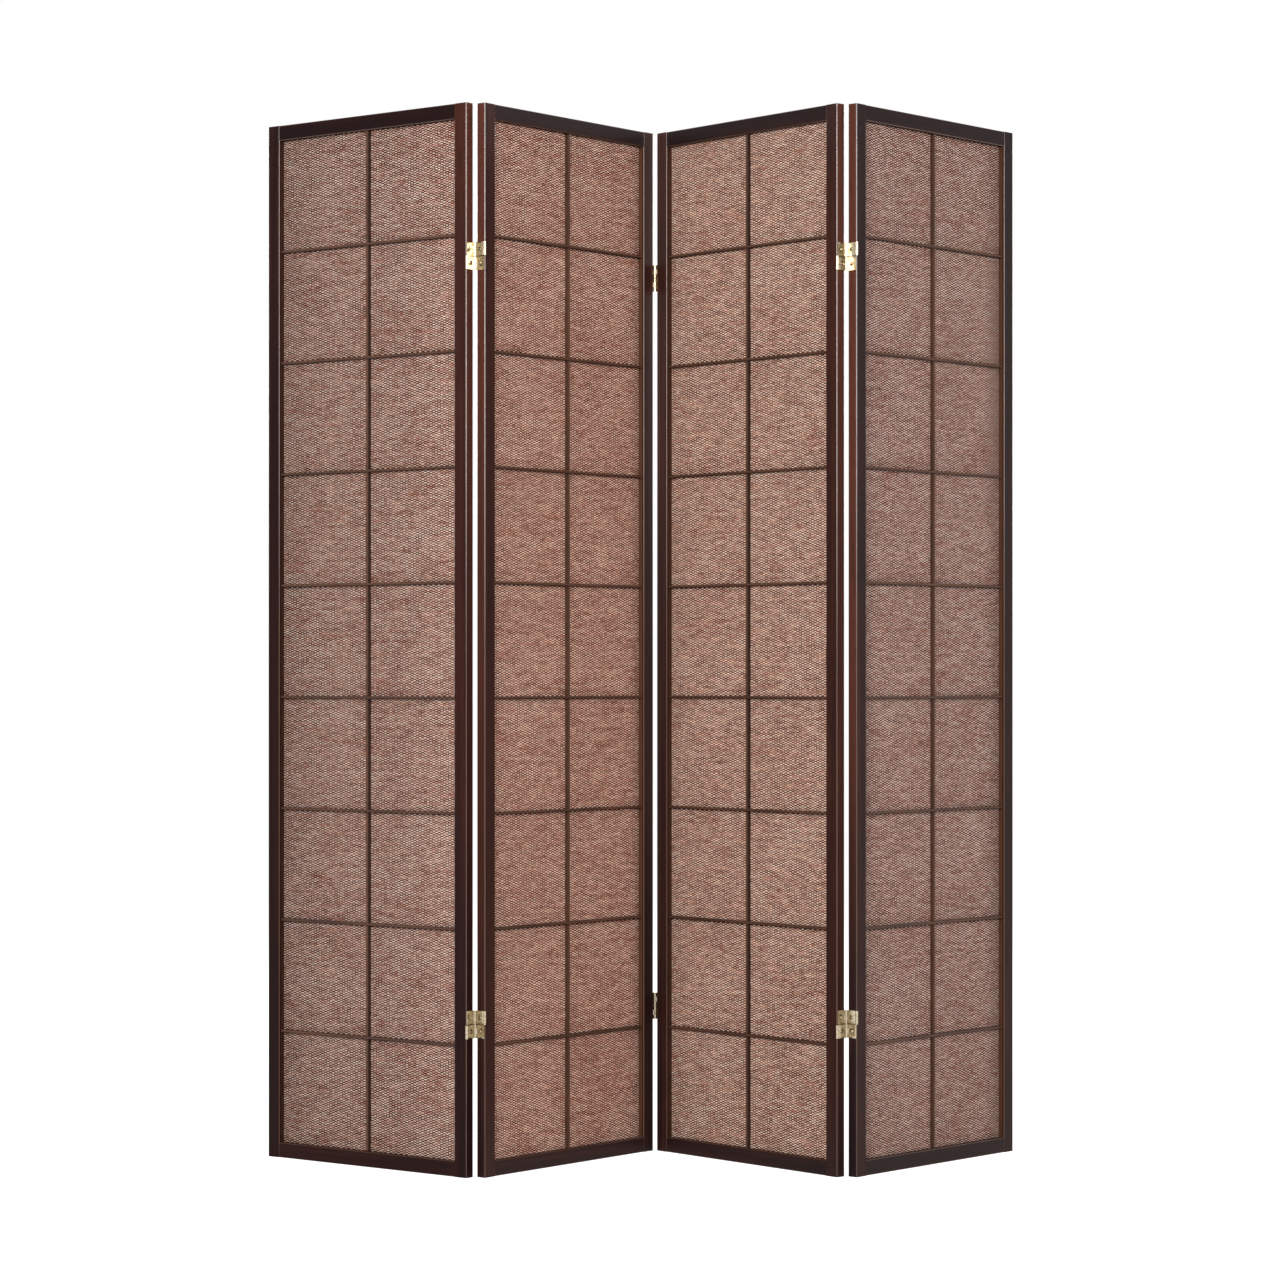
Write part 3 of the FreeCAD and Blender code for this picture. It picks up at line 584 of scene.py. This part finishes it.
def woven_cloth(name, panel, seed):
    """Plain weave of thick slubby picks that dive under dark warp threads, in turn from pick to pick."""
    weave = bpy.context.scene.divider_weave
    # Painted light and shade: the same yarn tinted lighter or darker for each panel
    light_tint = SHEET_LIGHT_TINTS[panel]
    light_yarn = [part * tint for part, tint in zip(weave.light_yarn, light_tint)]
    dark_yarn = [part * tint for part, tint in zip(weave.dark_yarn, light_tint)]
    finish = Finish(name)
    along, _, up = finish.axes(finish.place(panel))
    drift = finish.noise(finish.place(panel, (11, 1, 22)), 2.0) - 0.5
    sway = finish.noise(finish.place(panel, (30, 1, 12)), 2.0) - 0.5
    pick = (up + drift * weave.pick_wander) / weave.pick_pitch
    row = pick.floor()
    odd = (row * 0.5).fract() * 2
    across_pick = abs(pick.fract() - 0.5) * 2
    step = (along + sway * weave.column_wander) / (2 * weave.column_pitch) + odd * 0.5
    dive = finish.chance(step.floor(), row, seed)
    bow = finish.chance((step + 0.5).floor(), row, seed + 0.5)
    from_dive = abs(step.fract() - 0.5) * (2 * weave.column_pitch)
    half_dive = dive * weave.dive_spread + weave.dive
    float_over = from_dive.ease(half_dive, half_dive + weave.dive_edge)
    crown = 1 - across_pick * across_pick

    slub = finish.noise(finish.vector(along * 22, row * 0.4, seed * 7.3), 4.0, 0.65)
    blush = finish.noise(finish.vector(along * 26, row * 0.3, seed * 3.1), 3.0, 0.6)
    blotch = finish.noise(finish.place(panel, (6, 1, 14)), 2.0)
    tone = (slub - 0.5) * 1.9 + (blotch - 0.5) * 0.5 + bow * 0.6 + 0.3
    weft = finish.mix(tone, dark_yarn, light_yarn)
    shaded = finish.mix((1 - crown) * 0.15, weft, weave.warp)
    deep = finish.mix((blush - 0.50) * BLUSH[panel], weave.warp, dark_yarn)
    woven = finish.mix(float_over, deep, shaded)
    # Painted shade beside the stiles, or painted light where a value is below 0
    left_shade, right_shade, reach = SHEET_SHADE[panel]
    sheet_edge = PLACES[panel].width / 2
    by_left = (0 - along).ease(sheet_edge - reach, sheet_edge)
    by_right = along.ease(sheet_edge - reach, sheet_edge)
    colour = finish.mix(1.0, woven, 1 - by_left * left_shade - by_right * right_shade, "MULTIPLY")
    fibres = finish.noise(finish.place(panel, (900, 900, 3600)), 2.0)
    height = crown * (0.2 + float_over * 0.8) + fibres * 0.15
    return finish.surface({
        "Base Color": colour,
        "Roughness": 0.78 + fibres * 0.2,
        "Specular IOR Level": 0.15,
        "Normal": finish.relief(height, 0.6 * MILLIMETRE, 0.9),
    })


# Modelling

def deselect():
    """Nothing selected, in object mode."""
    if bpy.context.object and bpy.context.object.mode != "OBJECT":
        bpy.ops.object.mode_set(mode="OBJECT")
    bpy.ops.object.select_all(action="DESELECT")


def paint(node, material):
    """Give a CAD node one material."""
    mesh = frame["nodes"][node].data
    mesh.materials.clear()
    mesh.materials.append(material)


def make_sheet(panel):
    """A woven sheet, stretched in the rebate of a panel."""
    weave = bpy.context.scene.divider_weave
    where = PLACES[panel]
    deselect()
    bpy.ops.mesh.primitive_grid_add(x_subdivisions=weave.columns, y_subdivisions=weave.rows, size=1)
    cloth = bpy.context.object
    cloth.name = f"{panel}_woven_cloth"
    upright = Matrix.Rotation(math.radians(90), 4, "X")
    flat_size = Matrix.Diagonal((where.width, where.height, 1, 1))
    cloth.matrix_world = where.matrix @ upright @ flat_size
    bpy.ops.object.transform_apply(location=True, rotation=True, scale=True)

    wave = bpy.data.textures.new(f"{panel}_ripple", "CLOUDS")
    wave.noise_scale = RIPPLE_SCALE
    ripple = cloth.modifiers.new("ripple", "DISPLACE")
    ripple.texture = wave
    ripple.texture_coords = "LOCAL"
    ripple.mid_level = 0.5
    ripple.strength = weave.ripple
    bpy.ops.object.modifier_apply(modifier=ripple.name)
    wall = cloth.modifiers.new("thickness", "SOLIDIFY")
    wall.thickness = weave.thickness
    wall.offset = 0
    bpy.ops.object.modifier_apply(modifier=wall.name)
    bpy.ops.object.shade_smooth_by_angle(angle=math.radians(40))
    return cloth


class DIVIDER_OT_stage(bpy.types.Operator):
    """Set up the floor, the lamps and the camera"""

    bl_idname = "divider.stage"
    bl_label = "Stage"

    def execute(self, context):
        stage = context.scene.divider_stage
        context.scene.view_settings.view_transform = "Standard"
        self.light_world(context.scene, stage)
        self.lay_floor(stage)
        for name, (power, place, size) in LAMPS.items():
            self.add_lamp(name, getattr(stage, power), Vector(place), size)
        deselect()
        bpy.ops.object.camera_add(location=stage.eye, rotation=(math.radians(90), 0, 0))
        camera = context.object
        camera.data.lens = stage.lens
        camera.data.sensor_width = SENSOR_WIDTH
        camera.data.shift_x = stage.slide
        camera.data.shift_y = stage.rise
        camera.data.clip_end = SIGHT_RANGE
        context.scene.camera = camera
        return {"FINISHED"}

    def light_world(self, scene, stage):
        """Even light from all round, over a white background."""
        world = bpy.data.worlds.new("studio")
        world.use_nodes = True
        scene.world = world
        tree = world.node_tree
        background = tree.nodes["Background"]
        background.inputs["Color"].default_value = grey(1.0)
        seen = seen_rays(tree)
        level = tree.nodes.new("ShaderNodeMapRange")
        level.inputs["To Min"].default_value = stage.ambient
        level.inputs["To Max"].default_value = 1.0
        tree.links.new(seen, level.inputs["Value"])
        tree.links.new(level.outputs["Result"], background.inputs["Strength"])

    def lay_floor(self, stage):
        """A pale floor that looks white and keeps the shadow."""
        deselect()
        bpy.ops.mesh.primitive_plane_add(size=stage.floor_size, location=(0, 0, 0))
        floor = bpy.context.object
        floor.name = "floor"
        finish = Finish("floor")
        plain = finish.add("ShaderNodeBsdfDiffuse", {}, {"Color": grey(stage.floor_bounce)})
        lit = finish.add("ShaderNodeBsdfDiffuse", {}, {"Color": grey(stage.floor_shadow)})
        glow = finish.add("ShaderNodeEmission", {}, {"Color": grey(1.0), "Strength": stage.floor_glow})
        white = finish.add("ShaderNodeAddShader", {}, {0: lit, 1: glow})
        seen = Value(finish, seen_rays(finish.tree))
        finish.close(finish.add("ShaderNodeMixShader", {}, {0: seen, 1: plain, 2: white}))
        floor.data.materials.append(finish.material)

    def add_lamp(self, name, power, place, size):
        """A soft lamp that faces the middle of the screen."""
        deselect()
        aim = (CAD_BOX[0] + CAD_BOX[1]) / 2 - place
        turn = aim.to_track_quat("-Z", "Y").to_euler()
        bpy.ops.object.light_add(type="AREA", location=place, rotation=turn)
        lamp = bpy.context.object
        lamp.name = name
        lamp.data.shape = "RECTANGLE"
        lamp.data.size, lamp.data.size_y = size
        lamp.data.energy = power


def seen_rays(tree):
    """A socket that is 1 for what the camera sees, also in reflections and through glass."""
    path = tree.nodes.new("ShaderNodeLightPath")
    total = path.outputs["Is Camera Ray"]
    for name in ("Is Glossy Ray", "Is Transmission Ray"):
        larger = tree.nodes.new("ShaderNodeMath")
        larger.operation = "MAXIMUM"
        tree.links.new(total, larger.inputs[0])
        tree.links.new(path.outputs[name], larger.inputs[1])
        total = larger.outputs[0]
    return total


class DIVIDER_OT_frames(bpy.types.Operator):
    """Stain the stiles, rails and retaining beads, with painted light, sheen and shade"""

    bl_idname = "divider.frames"
    bl_label = "Frames"

    def execute(self, context):
        for seed, panel in enumerate(PANELS, start=1):
            for piece, side_light in INNER_SIDE_LIGHT.items():
                node = f"{panel}_{piece}"
                paint(node, stained_wood(node, panel, True, STILE_STAIN_AND_LIGHT[node], side_light, seed))
            for piece, redness in CROSS_STAIN.items():
                node = f"{panel}_{piece}"
                stain = (redness, 0.0, 0.0, 0.0)
                paint(node, stained_wood(node, panel, False, stain, CROSS_SIDE_LIGHT, seed))
        return {"FINISHED"}


class DIVIDER_OT_slats(bpy.types.Operator):
    """Stain the lattice slats, with painted light and shade"""

    bl_idname = "divider.slats"
    bl_label = "Slats"

    def execute(self, context):
        for panel in PANELS:
            paint(f"{panel}_centre_slat", slat_wood(f"{panel}_centre_slat", panel, True))
            paint(f"{panel}_cross_slats", slat_wood(f"{panel}_cross_slats", panel, False))
        return {"FINISHED"}


class DIVIDER_OT_dowels(bpy.types.Operator):
    """Give the dowels their bare wood"""

    bl_idname = "divider.dowels"
    bl_label = "Dowels"

    def execute(self, context):
        for panel in PANELS:
            paint(f"{panel}_frame_dowels", bare_wood(f"{panel}_frame_dowels", panel))
        return {"FINISHED"}


class DIVIDER_OT_hinges(bpy.types.Operator):
    """Polish the hinges and their screws, with painted shade in the seam between the links"""

    bl_idname = "divider.hinges"
    bl_label = "Hinges"

    def execute(self, context):
        colours = context.scene.divider_brass
        for panel in PANELS:
            plates = brass(f"{panel}_brass", panel, colours.bright)
            screws = brass(f"{panel}_screw_brass", panel, colours.screw, domed=True)
            for node, piece in frame["nodes"].items():
                if node.startswith("hinge_") and piece["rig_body"] == panel:
                    paint(node, screws if node.endswith("_screws") else plates)
        return {"FINISHED"}


class DIVIDER_OT_sheets(bpy.types.Operator):
    """Weave a sheet for each panel"""

    bl_idname = "divider.sheets"
    bl_label = "Woven sheets"

    def execute(self, context):
        for seed, panel in enumerate(PANELS, start=1):
            cloth = make_sheet(panel)
            cloth.data.materials.append(woven_cloth(f"{panel}_weave", panel, seed))
            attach(cloth, panel)
            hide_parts(f"{panel}_woven_sheet")
        return {"FINISHED"}


class DIVIDER_PT_sidebar(bpy.types.Panel):
    """The screen's steps and settings"""

    bl_idname = "DIVIDER_PT_sidebar"
    bl_label = "Folding screen"
    bl_space_type = "VIEW_3D"
    bl_region_type = "UI"
    bl_category = "Screen"

    def draw(self, context):
        for operator in OPERATORS:
            self.layout.operator(operator.bl_idname)
        for name, group in SETTINGS.items():
            box = self.layout.box()
            for prop in group.__annotations__:
                box.prop(getattr(context.scene, name), prop)


SETTINGS = {
    "divider_weave": WeaveSettings,
    "divider_wood": WoodSettings,
    "divider_brass": BrassSettings,
    "divider_stage": StageSettings,
}
OPERATORS = (
    DIVIDER_OT_stage,
    DIVIDER_OT_frames,
    DIVIDER_OT_slats,
    DIVIDER_OT_dowels,
    DIVIDER_OT_hinges,
    DIVIDER_OT_sheets,
)


def register():
    for item in (*SETTINGS.values(), *OPERATORS, DIVIDER_PT_sidebar):
        bpy.utils.register_class(item)
    for name, group in SETTINGS.items():
        setattr(bpy.types.Scene, name, PointerProperty(type=group))


def unregister():
    for name in SETTINGS:
        delattr(bpy.types.Scene, name)
    for item in reversed((*SETTINGS.values(), *OPERATORS, DIVIDER_PT_sidebar)):
        bpy.utils.unregister_class(item)


def main():
    register()
    bpy.ops.divider.stage()
    bpy.ops.divider.frames()
    bpy.ops.divider.slats()
    bpy.ops.divider.dowels()
    bpy.ops.divider.hinges()
    bpy.ops.divider.sheets()


if __name__ == "__main__":
    main()
